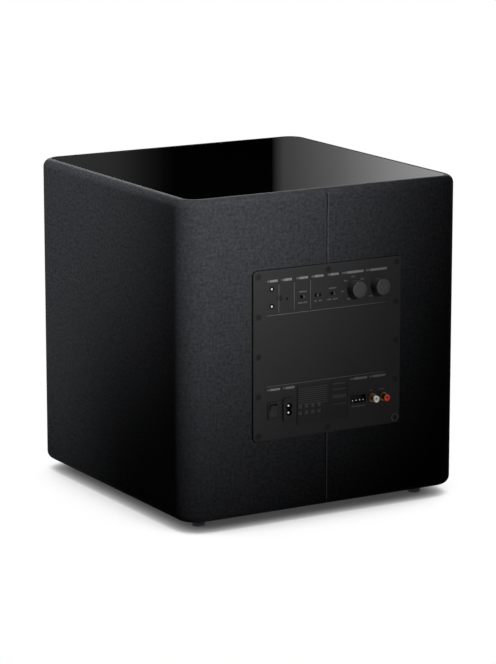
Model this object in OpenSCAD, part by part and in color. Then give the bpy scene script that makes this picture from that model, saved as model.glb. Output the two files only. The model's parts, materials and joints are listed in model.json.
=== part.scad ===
// Cube subwoofer: a cloth-covered sealed cabinet with a front-firing driver and a rear amplifier
// module. +Z is up, the driver fires along -Y and the controls face +Y. The origin is on the floor,
// below the middle of the overall outline, knobs included.

/* [Body] */
// Width of the cloth-covered body
body_w = 393; // [385:1:405]
// Depth of the cloth-covered body
body_d = 396; // [390:1:410]
// Height of the cloth-covered body, without its feet
body_h = 397; // [390:1:410]
// Radius of the four upright corners
corner_r = 28; // [25:0.5:30]
// Radius along the top and bottom edges
edge_r = 10.5; // [9:0.5:12]
// Thickness of the cloth
cloth_t = 1; // [0.8:0.1:1.2]
// Thickness of the carcass boards
board_t = 18; // [16:1:19]
// Thickness of the gloss top panel
top_panel_t = 4; // [3:0.5:5]
// How far the gloss top lies below the cloth rim
top_recess = 0.5; // [0.2:0.1:0.8]

/* [Feet] */
// Height of the body above the floor
foot_h = 13; // [12:0.5:16]
// Radius of a foot at the floor
foot_r = 8.6; // [8:0.1:10]
// Distance of each foot from the body's centre, in width and in depth
foot_offset = 157; // [150:1:160]

/* [Driver] */
// Outer radius of the driver's flange
flange_r = 156; // [155.5:0.5:157]
// Radius of the screw circle in the flange
flange_screw_r = 149; // [148.5:0.5:149.5]
// Travel of the cone each way
cone_travel = 10; // [6:1:10]
// Thickness of the board that carries the driver
baffle_t = 22; // [20:1:24]
// Thickness of the frame in front of that board
frame_t = 24; // [22:1:26]

/* [Amplifier] */
// Side of the square amplifier plate
plate_s = 211; // [209:0.5:213]
// Thickness of the amplifier plate
plate_t = 2; // [1.8:0.1:2.2]
// Thickness of the foam gasket under the plate
gasket_t = 1; // [0.8:0.1:1.2]
// Height of the plate's centre above the body's underside
plate_centre = 199; // [195:1:203]
// Distance of the plate's edge screws from its centre
plate_screw_offset = 98.5; // [98:0.5:99]
// How far the knob fronts stand out from the plate's front
knob_out = 14; // [13:0.5:16]
// Radius of the knobs
knob_r = 10; // [9:0.5:10.5]

/* [Hidden] */
$fn = 96;
big = 1000;

// Places in the row frame
plate_out = gasket_t + plate_t;
front_y = -(body_d + plate_out + knob_out) / 2;
back_y = front_y + body_d;
mid_y = front_y + body_d / 2;
base_z = foot_h + cloth_t;
top_z = foot_h + body_h;
pocket_z = top_z - top_recess - top_panel_t;
inner_x = body_w / 2 - cloth_t - board_t;
frame_y = front_y + cloth_t;
baffle_y = frame_y + frame_t;
inner_front_y = baffle_y + baffle_t;
inner_back_y = back_y - cloth_t - board_t;
inner_top_z = pocket_z - board_t;
inner_base_z = base_z + board_t;

// Shapes shared by several pieces ---------------------------------------------------------------

// Rectangle with round corners, centred
module rounded_rect(w, h, r) {
    square([w - 2 * r, h], center = true);
    square([w, h - 2 * r], center = true);
    for (sx = [-1, 1], sy = [-1, 1])
        translate([sx * (w / 2 - r), sy * (h / 2 - r)]) circle(r);
}

// Block with upright corners of radius r, and top and bottom edges of radius e, centred
module rounded_block(w, d, h, r, e) {
    rotate([90, 0, 90]) linear_extrude(w - 2 * r, center = true) rounded_rect(d, h, e);
    rotate([90, 0, 0]) linear_extrude(d - 2 * r, center = true) rounded_rect(w, h, e);
    for (sx = [-1, 1], sy = [-1, 1])
        translate([sx * (w / 2 - r), sy * (d / 2 - r), 0]) rotate_extrude() {
            translate([0, -h / 2]) square([r - e, h]);
            translate([0, e - h / 2]) square([r, h - 2 * e]);
            for (sz = [-1, 1]) translate([r - e, sz * (h / 2 - e)]) circle(e);
        }
}

// The body's outline, a distance g inside the cloth's outer face
module envelope(g) {
    translate([0, mid_y, foot_h + body_h / 2])
        rounded_block(body_w - 2 * g, body_d - 2 * g, body_h - 2 * g, corner_r - g, edge_r - g);
}

// The shallow pocket that the gloss top lies in, made smaller by a gap
module top_pocket(z, t, gap = 0) {
    translate([0, mid_y, z]) linear_extrude(t)
        rounded_rect(body_w - 2 * edge_r - 2 * gap, body_d - 2 * edge_r - 2 * gap,
            corner_r - edge_r - gap);
}

// A slice of the carcass between two depths
module depth_slice(y0, y1) {
    difference() {
        intersection() {
            envelope(cloth_t);
            translate([-big / 2, y0, 0]) cube([big, y1 - y0, big]);
        }
        top_pocket(pocket_z, big);
    }
}

// Ring between two radii, standing on z = 0
module ring(r_in, r_out, t) {
    difference() {
        cylinder(r = r_out, h = t);
        translate([0, 0, -1]) cylinder(r = r_in, h = t + 2);
    }
}

// Cabinet ---------------------------------------------------------------------------------------

bottom_turn = 25;       // cloth turned under the body
foot_top_r = 8.2;
foot_head_r = 4.4;
foot_screw_r = 2.2;
foot_well = 6;
window_s = 230;
brace_y = 30;

module at_feet() {
    for (sx = [-1, 1], sy = [-1, 1])
        translate([sx * foot_offset, mid_y + sy * foot_offset, 0]) children();
}

module foot_pilots() at_feet() cylinder(r = foot_screw_r + 0.05, h = inner_base_z - 2);

module fabric_wrap() color([0.16, 0.17, 0.18]) difference() {
    envelope(0);
    envelope(cloth_t);
    top_pocket(pocket_z, big);
    translate([0, mid_y, 0]) linear_extrude(foot_h + 5)
        rounded_rect(body_w - 2 * bottom_turn, body_d - 2 * bottom_turn, 4);
    amp_cutout();
    plate_screw_holes(shank_r + 0.2);
}

module top_panel() color([0.02, 0.02, 0.025]) top_pocket(pocket_z, top_panel_t, 0.2);

module front_frame() color([0.62, 0.5, 0.36]) difference() {
    depth_slice(frame_y, baffle_y);
    at_driver() cylinder(r = flange_r + 2, h = big);
    at_driver() translate([0, 0, frame_t - guard_t]) cylinder(r = guard_r + 0.2, h = big);
}

module front_baffle() color([0.6, 0.48, 0.34]) difference() {
    depth_slice(baffle_y, inner_front_y);
    at_driver() translate([0, 0, -baffle_t - 1]) cylinder(r = cutout_r, h = baffle_t + 2);
    at_driver() translate([0, 0, -flange_t]) cylinder(r = flange_r + 0.3, h = flange_t + 1);
    at_flange_screws() translate([0, 0, -20.5]) cylinder(r = 2.15, h = 21);
    foot_pilots();
}

module side_board(s) {
    difference() {
        depth_slice(inner_front_y, inner_back_y);
        translate([s > 0 ? inner_x - big : -inner_x, -big / 2, -1]) cube([big, big, big]);
    }
}

module left_side() color([0.62, 0.5, 0.36]) side_board(-1);

module right_side() color([0.62, 0.5, 0.36]) side_board(1);

module rear_panel() color([0.62, 0.5, 0.36]) difference() {
    depth_slice(inner_back_y, back_y);
    amp_cutout();
    plate_screw_holes(shank_r + 0.05);
}

module level_board(z) {
    translate([-inner_x, inner_front_y, z])
        cube([2 * inner_x, inner_back_y - inner_front_y, board_t]);
}

module top_board() color([0.64, 0.52, 0.38]) level_board(inner_top_z);

module bottom_board() color([0.1, 0.1, 0.1]) difference() {
    level_board(base_z);
    foot_pilots();
}

module window_brace() color([0.64, 0.52, 0.38]) difference() {
    translate([-inner_x, brace_y, inner_base_z])
        cube([2 * inner_x, board_t, inner_top_z - inner_base_z]);
    translate([0, brace_y + board_t + 1, driver_z]) rotate([90, 0, 0])
        linear_extrude(board_t + 2) rounded_rect(window_s, window_s, 25);
}

// Pads on the side walls, in front of the brace and behind it
pad_t = 25;
pad_h = 280;
module wadding() color([0.85, 0.85, 0.82])
    for (sx = [-1, 1], span = [[inner_front_y + 10, brace_y - 4],
            [brace_y + board_t + 4, inner_back_y - 4]])
        translate([sx > 0 ? inner_x - pad_t : -inner_x, span[0], driver_z - pad_h / 2])
            cube([pad_t, span[1] - span[0], pad_h]);

module feet() color([0.12, 0.12, 0.12]) at_feet() difference() {
    rotate_extrude() polygon([[0, 0], [foot_r - 0.6, 0], [foot_r, 0.6], [foot_top_r, base_z],
        [0, base_z]]);
    translate([0, 0, -1]) cylinder(r = foot_head_r + 0.3, h = foot_well + 1);
    cylinder(r = foot_screw_r + 0.3, h = base_z + 1);
}

module foot_screws() color([0.5, 0.5, 0.52]) at_feet() {
    difference() {
        translate([0, 0, foot_well - 3]) cylinder(r = foot_head_r, h = 3);
        translate([0, 0, foot_well - 4]) cross_slot(5, 1, 2.4);
    }
    translate([0, 0, foot_well]) cylinder(r = foot_screw_r, h = 22);
}

// Cross-head recess, depth t from z = 0
module cross_slot(span, w, t) {
    for (a = [0, 90]) rotate(a) translate([-span / 2, -w / 2, 0]) cube([span, w, t]);
}

// Driver: local z = 0 is the baffle's front face, +z towards the front ----------------------------

driver_z = foot_h + body_h / 2;
cutout_r = 141;
flange_t = 5;
guard_t = 2;
guard_r = 163.8;
seat_r = 143.2;         // step in the flange that the surround's lip lies in
basket_in_r = 134;
leg_top = [139.5, -5];
leg_base = [88, -84];
hub_z = -90;            // back face of the basket's hub
plate_gap_r = 35;
pole_r = 30.9;
former_in_r = 31.6;
former_r = 32.2;
coil_r = 34;
pole_plate_t = 10;
magnet_t = 24;
yoke_t = 10;
cone_r = 113;
cone_rim_z = -2.6;
neck_z = -60;
cap_r = 44;
cap_rise = 13;
shelf_z = -67;
roll_mid_r = 123;
roll_r = 10.5;
roll_t = 0.9;
spider_r = 84;

module at_driver() translate([0, baffle_y, driver_z]) rotate([90, 0, 0]) children();

module at_flange_screws()
    at_driver() for (i = [0:7]) rotate(22.5 + 45 * i) translate([flange_screw_r, 0, 0]) children();

module driver_guard() color([0.1, 0.1, 0.1]) at_driver() translate([0, 0, frame_t - guard_t]) {
    ring(152, guard_r, guard_t);
    for (r = [27:25:127]) ring(r - 1.5, r + 1.5, guard_t);
    for (a = [0:45:135]) rotate(a) translate([-157, -2, 0]) cube([314, 4, guard_t]);
}

// Outer face of the basket's legs at height z
function leg_r(z) = leg_top[0]
    + (z - leg_top[1]) * (leg_base[0] - leg_top[0]) / (leg_base[1] - leg_top[1]);

module driver_basket() color([0.13, 0.13, 0.14]) difference() {
    at_driver() difference() {
        rotate_extrude() polygon([[basket_in_r, -1.5], [basket_in_r, -5.5], [spider_r + 3, -78],
            [spider_r + 0.2, shelf_z - 2], [spider_r + 0.2, shelf_z], [spider_r - 6, shelf_z],
            [spider_r - 6, -84], [plate_gap_r + 1.5, -84], [plate_gap_r + 1.5, hub_z],
            [leg_base[0], hub_z], leg_base, leg_top, [flange_r, -flange_t], [flange_r, 0],
            [seat_r, 0], [seat_r, -1.5]]);
        for (i = [0:11]) rotate(15 + 30 * i) translate([89.5, -17, -60]) cube([60, 34, 48]);
    }
    at_flange_screws() translate([0, 0, -flange_t - 1]) cylinder(r = 2.4, h = flange_t + 2);
}

module surround() color([0.09, 0.09, 0.09]) at_driver() rotate_extrude() {
    translate([cone_r - 5.5, cone_rim_z]) square([6, 1]);
    translate([roll_mid_r, cone_rim_z + 0.5]) intersection() {
        difference() {
            circle(roll_r);
            circle(roll_r - roll_t);
        }
        translate([-roll_r, 0]) square([2 * roll_r, roll_r]);
    }
    translate([roll_mid_r + roll_r - roll_t, -1.5]) square([9.4 + roll_t, 1.2]);
}

module cone() color([0.1, 0.1, 0.11]) at_driver() rotate_extrude()
    polygon([[former_r, neck_z - 2], [former_r + 2, neck_z - 2], [cone_r - 5, cone_rim_z - 2.6],
        [cone_r, cone_rim_z - 1.6], [cone_r, cone_rim_z], [cone_r - 6, cone_rim_z],
        [former_r + 0.8, neck_z], [former_r, neck_z]]);

module dust_cap() color([0.08, 0.08, 0.09]) at_driver() {
    sphere_r = (cap_r * cap_r + cap_rise * cap_rise) / (2 * cap_rise);
    rim_z = neck_z + (cap_r - former_r - 0.8)
        * (cone_rim_z - neck_z) / (cone_r - 6 - former_r - 0.8);
    translate([0, 0, rim_z + cap_rise - sphere_r]) rotate_extrude() intersection() {
        difference() {
            circle(sphere_r);
            circle(sphere_r - 1.2);
        }
        translate([0, sphere_r - cap_rise]) square([cap_r, cap_rise]);
    }
}

// Corrugated centring ring between the former and the basket's shelf
spider_waves = 4;
module spider() color([0.75, 0.6, 0.3]) at_driver() {
    inner = former_r + 2;
    outer = spider_r - 6;
    top = [for (i = [0:40]) let (r = inner + (outer - inner) * i / 40)
        [r, shelf_z + 0.8 + 2 * sin(360 * spider_waves * i / 40)]];
    low = [for (i = [40:-1:0]) [top[i][0], top[i][1] - 0.8]];
    rotate_extrude() polygon(concat([[former_r, shelf_z], [former_r, shelf_z + 0.8]], top,
        [[spider_r, shelf_z + 0.8], [spider_r, shelf_z]], low));
}

module coil_former() color([0.8, 0.7, 0.45]) at_driver()
    translate([0, 0, -110]) ring(former_in_r, former_r, neck_z + 110);

// The coil overhangs the gap at both ends by a little less than the cone's travel
module voice_coil() color([0.75, 0.4, 0.2]) at_driver() {
    coil_h = pole_plate_t + 2 * (cone_travel - 3);
    translate([0, 0, hub_z - (pole_plate_t + coil_h) / 2]) ring(former_r, coil_r, coil_h);
}

module front_pole_plate() color([0.6, 0.6, 0.62]) at_driver()
    translate([0, 0, hub_z - pole_plate_t]) ring(plate_gap_r, 80, pole_plate_t);

module magnet() color([0.2, 0.2, 0.21]) at_driver()
    translate([0, 0, hub_z - pole_plate_t - magnet_t]) ring(46, 84, magnet_t);

module pole_yoke() color([0.6, 0.6, 0.62]) at_driver() {
    back = hub_z - pole_plate_t - magnet_t - yoke_t;
    difference() {
        union() {
            translate([0, 0, back]) cylinder(r = 78, h = yoke_t);
            translate([0, 0, back]) cylinder(r = pole_r, h = hub_z + 1 - back);
        }
        translate([0, 0, back - 1]) cylinder(r = 10, h = big);
    }
}

module driver_gasket() color([0.07, 0.07, 0.07]) at_driver()
    translate([0, 0, -0.3]) ring(basket_in_r + 0.5, seat_r - 0.2, 2.4);

module driver_screws() color([0.15, 0.15, 0.16]) at_flange_screws() {
    difference() {
        cylinder(r = 4.4, h = 3.5);
        translate([0, 0, 1.5]) cylinder(r = 2, h = 3, $fn = 6);
    }
    translate([0, 0, -20]) cylinder(r = 2.1, h = 20);
}

// Terminal block on the lowest leg of the basket
terminal_z = [-46, -34];
module driver_terminal() color([0.3, 0.08, 0.06]) at_driver() {
    rotate(-94) rotate_extrude(angle = 8) polygon([[leg_r(terminal_z[0]), terminal_z[0]],
        [leg_r(terminal_z[0]) + 10, terminal_z[0]], [leg_r(terminal_z[1]) + 10, terminal_z[1]],
        [leg_r(terminal_z[1]), terminal_z[1]]]);
}

// Two-core lead from the amplifier to the driver
lead_r = 2;
lead_steps = 5;
lead_points = [[20, 140, 172], [20, 118, 172], [20, 85, 170], [17, 40, 158], [12, 0, 136],
    [6, -45, 108], [1, -90, 92], [0, -120, 91], [0, -135.5, 91]];
function spline(a, b, c, d, t) = 0.5 * (2 * b + (c - a) * t
    + (2 * a - 5 * b + 4 * c - d) * t * t + (3 * b - a - 3 * c + d) * t * t * t);
lead_path = [for (i = [0:len(lead_points) - 2], k = [0:lead_steps - 1])
    spline(lead_points[max(i - 1, 0)], lead_points[i], lead_points[i + 1],
        lead_points[min(i + 2, len(lead_points) - 1)], k / lead_steps),
    lead_points[len(lead_points) - 1]];
function unit(v) = v / norm(v);
module speaker_lead() color([0.55, 0.12, 0.1]) {
    n = len(lead_path);
    points = [for (i = [0:n - 1])
        let (along = unit(lead_path[min(i + 1, n - 1)] - lead_path[max(i - 1, 0)]),
            side = unit(cross(along, [0, 0, 1])), up = cross(side, along))
        for (k = [0:7]) lead_path[i] + lead_r * (cos(45 * k) * side + sin(45 * k) * up)];
    walls = [for (i = [0:n - 2], k = [0:7])
        [8 * i + k, 8 * i + (k + 1) % 8, 8 * i + 8 + (k + 1) % 8, 8 * i + 8 + k]];
    ends = [[for (k = [7:-1:0]) k], [for (k = [0:7]) 8 * (n - 1) + k]];
    polyhedron(points, concat(walls, ends), convexity = 6);
}

// Amplifier module: local x to the right as seen from behind, y up, z out of the plate -------------

plate_z = foot_h + plate_centre;
plate_y = back_y + plate_out;
cutout_s = 184;
shank_r = 1.9;
screw_head_r = 3.3;
screw_well_r = 3.7;
screw_well = 1.3;
edge_screws = concat([for (sx = [-1, 1], i = [-2:2])
    [sx * plate_screw_offset, i * plate_screw_offset / 2]],
    [for (sy = [-1, 1]) [0, sy * plate_screw_offset]]);
board_screw = [-68.7, 70];
crossover_at = [37.3, 72];
volume_at = [71.3, 72];
switch_row = 68.3;
switch_at = [-36.2, -14.7, 7];
slider_rest = [2, 0, 2];
slider_travel = 4;
led_at = [-58.2, 68.3];
cover_at = [-79.7, 71.5];
cover_size = [13, 31];
cover_screw_offset = 10.7;
rocker_at = [-78, -68.5];
inlet_at = [-56.5, -69];
header_at = [44.6, -68.6];
white_at = [65.3, -69.5];
red_at = [80.8, -69.5];
label_at = [-7.6, -66.7];

module on_plate(at = [0, 0], out = 0)
    translate([-at[0], plate_y + out, plate_z + at[1]]) rotate([90, 0, 180]) children();

module amp_cutout()
    on_plate([0, 0], -60) linear_extrude(60 + plate_t) rounded_rect(cutout_s, cutout_s, 6);

module plate_screw_holes(r)
    for (p = edge_screws) on_plate(p, -19) cylinder(r = r, h = 19 + plate_t);

module amp_plate() color([0.06, 0.06, 0.065]) difference() {
    intersection() {
        on_plate([0, 0], -plate_t) rounded_block(plate_s, plate_s, 2 * plate_t, 6, 1.2);
        on_plate([0, 0], -plate_t) translate([-big / 2, -big / 2, 0]) cube([big, big, big]);
    }
    for (p = concat(edge_screws, [board_screw])) {
        on_plate(p, -plate_t - 1) cylinder(r = shank_r + 0.2, h = plate_t + 2);
        on_plate(p, -screw_well) cylinder(r = screw_well_r, h = screw_well + 1);
    }
    on_plate([0, 0], -plate_t - 1) linear_extrude(plate_t + 2) {
        for (p = [crossover_at, volume_at]) translate(p) circle(bushing_r + 0.2);
        for (x = switch_at) translate([x, switch_row]) square(slot_size, center = true);
        translate(led_at) circle(led_r + 0.1);
        translate(cover_at) rounded_rect(cover_size[0] + 0.2, cover_size[1] + 0.2, 1.6);
        translate(rocker_at) square([13, 19], center = true);
        translate(inlet_at) square([14, 24.4], center = true);
        translate(header_at) square([22.3, 10.9], center = true);
        for (p = [white_at, red_at]) translate(p) circle(shell_r + 0.2);
    }
}

module plate_gasket() color([0.04, 0.04, 0.04]) difference() {
    on_plate([0, 0], -plate_t - gasket_t) linear_extrude(gasket_t) difference() {
        rounded_rect(plate_s - 2, plate_s - 2, 5);
        rounded_rect(cutout_s, cutout_s, 6);
    }
    plate_screw_holes(shank_r + 0.2);
}

// One countersunk cross-head screw with its head in the plate's well
module plate_screw(length) {
    difference() {
        translate([0, 0, -screw_well]) cylinder(r = screw_head_r, h = 1.1);
        translate([0, 0, -screw_well + 0.3]) cross_slot(4, 0.9, 2);
    }
    translate([0, 0, -screw_well - length]) cylinder(r = shank_r, h = length);
}

module plate_screws() color([0.03, 0.03, 0.03]) {
    for (p = edge_screws) on_plate(p) plate_screw(17);
    on_plate(board_screw) plate_screw(6);
}

chassis_s = 178;
chassis_depth = 64;
chassis_t = 1.5;
module amp_chassis() color([0.6, 0.61, 0.62]) difference() {
    on_plate([0, 0], -plate_t - chassis_depth) linear_extrude(chassis_depth)
        rounded_rect(chassis_s, chassis_s, 4);
    on_plate([0, 0], -plate_t - chassis_depth + chassis_t) linear_extrude(chassis_depth)
        rounded_rect(chassis_s - 2 * chassis_t, chassis_s - 2 * chassis_t, 2.5);
    translate([lead_points[0][0], plate_y - plate_t - chassis_depth - 1, lead_points[0][2]])
        rotate([-90, 0, 0]) cylinder(r = lead_r + 0.6, h = chassis_t + 2);
}

pcb_t = 1.6;
control_pcb = [166, 44];
control_pcb_at = [0, 64];
control_pcb_out = -14;
power_pcb = [166, 56];
power_pcb_at = [0, -58];
power_pcb_out = -28;
post_r = 2.5;

module control_board() color([0.05, 0.25, 0.12]) on_plate(control_pcb_at, control_pcb_out)
    linear_extrude(pcb_t) rounded_rect(control_pcb[0], control_pcb[1], 2);

module power_board() color([0.05, 0.25, 0.12]) on_plate(power_pcb_at, power_pcb_out)
    linear_extrude(pcb_t) rounded_rect(power_pcb[0], power_pcb[1], 2);

// Posts between the plate's back and each board
module board_posts() color([0.75, 0.7, 0.5]) {
    for (x = [-81, 81], y = [control_pcb_at[1] - 18, control_pcb_at[1] - 8])
        on_plate([x, y], control_pcb_out + pcb_t)
            cylinder(r = post_r, h = -plate_t - control_pcb_out - pcb_t);
    for (x = [-80, 80], y = [power_pcb_at[1] + 24, power_pcb_at[1] - 24])
        on_plate([x, y], power_pcb_out + pcb_t)
            cylinder(r = post_r, h = -plate_t - power_pcb_out - pcb_t);
}

// Core and winding of the mains transformer, behind the power board
module transformer() color([0.72, 0.6, 0.25]) on_plate([-48, -58], power_pcb_out - 32) {
    linear_extrude(32) rounded_rect(22, 40, 1.5);
    translate([0, 0, 5]) linear_extrude(22) rounded_rect(42, 30, 4);
}

module capacitors() color([0.1, 0.12, 0.2])
    for (i = [0:2]) on_plate([-11 + 20 * i, -50], power_pcb_out - 30) cylinder(r = 9, h = 30);

// Finned sink for the output stage
fin_pitch = 6;
module heat_sink() color([0.75, 0.76, 0.78]) on_plate([60, -58], power_pcb_out - 26) {
    translate([-17.5, -24, 22]) cube([35, 48, 4]);
    for (i = [0:5]) translate([-17.5 + fin_pitch * i + 1, -24, 0]) cube([2, 48, 22.5]);
}

bushing_r = 3.6;
shaft_r = 3;
pot_size = 17;
module pot(at) {
    body_out = control_pcb_out + pcb_t;
    difference() {
        union() {
            on_plate(at, body_out) linear_extrude(8.4) rounded_rect(pot_size, pot_size, 1.5);
            on_plate(at, body_out + 8) cylinder(r = bushing_r, h = 0.6 - body_out - 8);
        }
        on_plate(at, body_out + 2) cylinder(r = shaft_r + 0.05, h = big);
    }
}

module potentiometers() color([0.35, 0.35, 0.36]) for (p = [crossover_at, volume_at]) pot(p);

knob_gap = 0.8;
shaft_out = 10;
module shaft(at)
    on_plate(at, control_pcb_out + pcb_t + 2.5)
        cylinder(r = shaft_r, h = shaft_out - control_pcb_out - pcb_t - 2.5);

module crossover_shaft() color([0.75, 0.75, 0.77]) shaft(crossover_at);

module volume_shaft() color([0.75, 0.75, 0.77]) shaft(volume_at);

// Knob with a rounded front edge, a shallow dish and a pointer groove towards angle turn
module knob(at, turn) {
    difference() {
        on_plate(at, knob_gap) rotate_extrude() difference() {
            union() {
                square([knob_r - 1, knob_out - knob_gap]);
                square([knob_r, knob_out - knob_gap - 1]);
                translate([knob_r - 1, knob_out - knob_gap - 1]) circle(1);
            }
            translate([0, -0.01]) square([shaft_r, shaft_out - knob_gap + 0.01]);
            translate([0, knob_out - knob_gap - 0.4]) square([knob_r - 2.2, 1]);
        }
        on_plate(at, knob_out - 1) rotate(turn) translate([-0.5, knob_r - 6, 0]) cube([1, 6.5, 2]);
    }
}

module crossover_knob() color([0.07, 0.07, 0.075]) knob(crossover_at, 35);

module volume_knob() color([0.07, 0.07, 0.075]) knob(volume_at, 20);

// Mains rocker: its paddle turns on two trunnions across the housing
bezel_out = 1.8;
rocker_pivot_out = -2;
rocker_tilt = 10;
paddle_w = 10;
trunnion_r = 1.2;
rocker_body = [12.6, 18.6];
rocker_room = [10.6, 16.6];
module rocker_housing() color([0.05, 0.05, 0.055]) difference() {
    union() {
        on_plate(rocker_at) linear_extrude(bezel_out) rounded_rect(15, 21, 1);
        on_plate(rocker_at, -14) linear_extrude(14.5) square(rocker_body, center = true);
    }
    on_plate(rocker_at, -11) linear_extrude(20) square(rocker_room, center = true);
    on_plate(rocker_at, rocker_pivot_out) rotate([0, 90, 0])
        cylinder(r = trunnion_r + 0.07, h = 2 * 7.6, center = true);
}

module power_rocker() color([0.06, 0.06, 0.065])
    on_plate(rocker_at, rocker_pivot_out) rotate([rocker_tilt, 0, 0]) {
        rotate([90, 0, 90]) linear_extrude(paddle_w, center = true)
            polygon([[-7.2, 5.1], [0, 3.7], [7.2, 5.1], [7.2, -1.5], [3, -6], [-3, -6],
                [-7.2, -1.5]]);
        rotate([0, 90, 0]) cylinder(r = trunnion_r, h = 12.2, center = true);
    }

// Figure-8 mains inlet
inlet_out = 2.8;
inlet_depth = 14;
pin_offset = 4.3;
module mains_inlet() color([0.05, 0.05, 0.055]) difference() {
    union() {
        on_plate(inlet_at) linear_extrude(inlet_out) rounded_rect(16, 28, 2);
        on_plate(inlet_at, -18) linear_extrude(18.5) rounded_rect(13.6, 24, 1.5);
    }
    on_plate(inlet_at, inlet_out - inlet_depth) linear_extrude(inlet_depth + 1) {
        for (s = [-1, 1]) translate([0, 4 * s]) circle(4.2);
        square([5.6, 8], center = true);
    }
}

module inlet_pins() color([0.8, 0.8, 0.82])
    for (s = [-1, 1]) on_plate(inlet_at + [0, s * pin_offset], inlet_out - inlet_depth)
        cylinder(r = 1.18, h = inlet_depth - 1.8);

// Three slide switches behind slots in the plate
slot_size = [8.4, 4.4];
slider_size = [3, 3.6];
module switch_bodies() color([0.4, 0.4, 0.42])
    for (x = switch_at) difference() {
        on_plate([x, switch_row], control_pcb_out + pcb_t) linear_extrude(8.4)
            square([12.6, 6.6], center = true);
        on_plate([x, switch_row], -6.5) linear_extrude(10)
            square([slot_size[0], slider_size[1] + 0.5], center = true);
    }

module slider(i)
    on_plate([switch_at[i] + slider_rest[i], switch_row], -6.3) linear_extrude(6.6)
        rounded_rect(slider_size[0], slider_size[1], 0.4);

module power_mode_slider() color([0.15, 0.15, 0.155]) slider(0);

module eq_slider() color([0.15, 0.15, 0.155]) slider(1);

module phase_slider() color([0.15, 0.15, 0.155]) slider(2);

led_r = 1.5;
module status_led() color([0.12, 0.1, 0.1]) on_plate(led_at, control_pcb_out + pcb_t)
    cylinder(r = led_r, h = -control_pcb_out - pcb_t - 0.3);

cover_well = 1.2;
module expansion_cover() color([0.06, 0.06, 0.065]) on_plate(cover_at, -plate_t) difference() {
    linear_extrude(plate_t) rounded_rect(cover_size[0], cover_size[1], 1.5);
    for (s = [-1, 1]) translate([0, s * cover_screw_offset, 0]) {
        translate([0, 0, -1]) cylinder(r = 1.5, h = plate_t + 2);
        translate([0, 0, plate_t - cover_well]) cylinder(r = 3.4, h = cover_well + 1);
    }
}

module expansion_screws() color([0.85, 0.85, 0.87])
    for (s = [-1, 1]) on_plate(cover_at + [0, s * cover_screw_offset]) {
        difference() {
            translate([0, 0, -cover_well]) cylinder(r = 2.2, h = 1.1);
            translate([0, 0, -0.6]) cross_slot(2.6, 0.5, 1);
        }
        translate([0, 0, -8]) cylinder(r = 1.3, h = 8 - cover_well);
    }

// Four-pole pluggable header with keying notches along its top wall
pole_pitch = 5.08;
header_pin_drop = -1.7;
module header_poles() for (i = [-1.5:1:1.5]) translate([pole_pitch * i, 0, 0]) children();

module terminal_header() color([0.05, 0.05, 0.055]) difference() {
    on_plate(header_at, -11) linear_extrude(11.8) square([22, 10.6], center = true);
    on_plate(header_at, -8.2) linear_extrude(10) square([20.4, 9], center = true);
    on_plate(header_at, -3) header_poles() translate([-1.2, 4, 0]) cube([2.4, 3, 6]);
}

module terminal_pins() color([0.82, 0.82, 0.8]) on_plate(header_at, -8.2)
    header_poles() translate([-0.5, header_pin_drop - 0.5, 0]) cube([1, 1, 7.4]);

// Phono sockets: gold shells around coloured inserts
shell_r = 4.15;
shell_out = 8.6;
insert_r = 3.3;
insert_front = 1.4;
module rca_shells() color([0.85, 0.68, 0.35]) for (p = [white_at, red_at]) on_plate(p) difference() {
    union() {
        translate([0, 0, -8]) cylinder(r = shell_r, h = 8 + shell_out);
        cylinder(r = 5.3, h = 1.2);
    }
    translate([0, 0, -9]) cylinder(r = insert_r, h = big);
}

module socket_insert(at) on_plate(at) difference() {
    union() {
        translate([0, 0, -8]) cylinder(r = insert_r, h = 8 + shell_out);
        translate([0, 0, shell_out]) cylinder(r = shell_r, h = insert_front);
    }
    translate([0, 0, -2]) cylinder(r = 1.65, h = big);
}

module rca_white_insert() color([0.95, 0.95, 0.93]) socket_insert(white_at);

module rca_red_insert() color([0.85, 0.1, 0.08]) socket_insert(red_at);

module spec_label() color([0.08, 0.08, 0.085]) on_plate(label_at)
    linear_extrude(0.15) rounded_rect(73.3, 48.3, 1);

fabric_wrap();
top_panel();
front_frame();
front_baffle();
left_side();
right_side();
rear_panel();
top_board();
bottom_board();
window_brace();
wadding();
driver_guard();
feet();
foot_screws();
driver_basket();
surround();
cone();
dust_cap();
spider();
coil_former();
voice_coil();
front_pole_plate();
magnet();
pole_yoke();
driver_gasket();
driver_screws();
driver_terminal();
speaker_lead();
amp_plate();
plate_gasket();
plate_screws();
amp_chassis();
control_board();
power_board();
board_posts();
transformer();
capacitors();
heat_sink();
potentiometers();
crossover_shaft();
volume_shaft();
crossover_knob();
volume_knob();
rocker_housing();
power_rocker();
mains_inlet();
inlet_pins();
switch_bodies();
power_mode_slider();
eq_slider();
phase_slider();
status_led();
expansion_cover();
expansion_screws();
terminal_header();
terminal_pins();
rca_shells();
rca_white_insert();
rca_red_insert();
spec_label();
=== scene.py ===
import json
import math

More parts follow.
